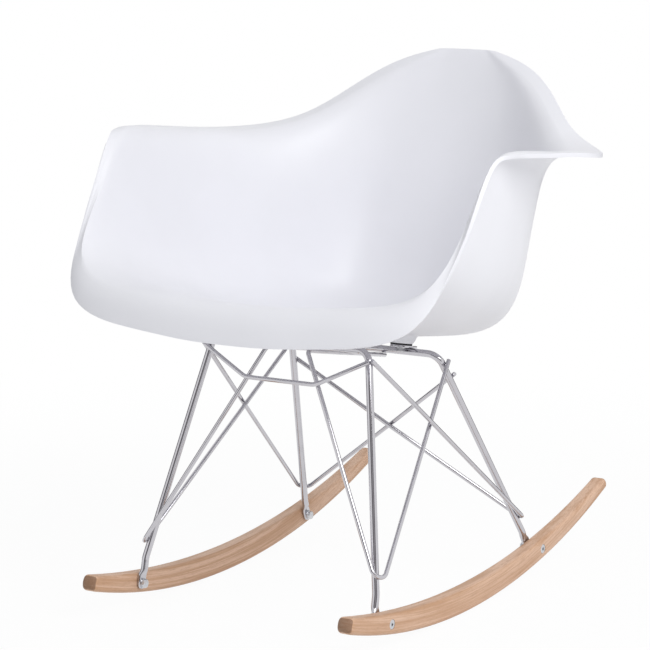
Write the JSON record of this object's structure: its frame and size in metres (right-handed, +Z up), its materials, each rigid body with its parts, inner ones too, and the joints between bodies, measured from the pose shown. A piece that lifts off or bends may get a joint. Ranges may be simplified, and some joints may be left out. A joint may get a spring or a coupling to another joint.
{
  "type": "rocking armchair",
  "caption": "Rocking armchair with a one-piece moulded bucket seat and arms on a braced wire base with bent metal legs and curved wooden rockers.",
  "frame": {"origin": "centre of the length and width of the chair, on the floor that the rockers rest on", "axes": "+X to the sitter's left, +Y to the back, +Z up; the sitter looks along -Y"},
  "size_m": [0.6288, 0.688, 0.6623],
  "materials": {
    "shell": "satin moulded plastic",
    "chrome_rod": "bright chrome plate on steel rod",
    "chrome_plate": "bright chrome plate on sheet steel",
    "wood": "clear lacquered light hardwood",
    "rubber_pad": "matte black rubber",
    "brass_insert": "plain brass",
    "zinc": "zinc plated steel"
  },
  "bodies": {
    "root": {"seat_shell": "shell", "front_leg_frame": "chrome_rod", "rear_leg_frame": "chrome_rod", "left_front_brace": "chrome_rod", "right_front_brace": "chrome_rod", "left_rear_brace": "chrome_rod", "right_rear_brace": "chrome_rod", "cross_wire": "chrome_rod", "left_rocker": "wood", "right_rocker": "wood", "front_left_insert": "brass_insert", "front_right_insert": "brass_insert", "rear_left_insert": "brass_insert", "rear_right_insert": "brass_insert", "front_left_pad": "rubber_pad", "front_right_pad": "rubber_pad", "rear_left_pad": "rubber_pad", "rear_right_pad": "rubber_pad", "front_left_seat_plate": "chrome_plate", "front_right_seat_plate": "chrome_plate", "rear_left_seat_plate": "chrome_plate", "rear_right_seat_plate": "chrome_plate", "front_left_seat_washer": "zinc", "front_right_seat_washer": "zinc", "rear_left_seat_washer": "zinc", "rear_right_seat_washer": "zinc", "front_left_seat_screw": "zinc", "front_right_seat_screw": "zinc", "rear_left_seat_screw": "zinc", "rear_right_seat_screw": "zinc", "front_left_rocker_bolt": "zinc", "front_right_rocker_bolt": "zinc", "rear_left_rocker_bolt": "zinc", "rear_right_rocker_bolt": "zinc", "front_left_rocker_washer": "zinc", "front_right_rocker_washer": "zinc", "rear_left_rocker_washer": "zinc", "rear_right_rocker_washer": "zinc", "front_left_sleeve": "zinc", "front_right_sleeve": "zinc", "rear_left_sleeve": "zinc", "rear_right_sleeve": "zinc"}
  },
  "joints": []
}
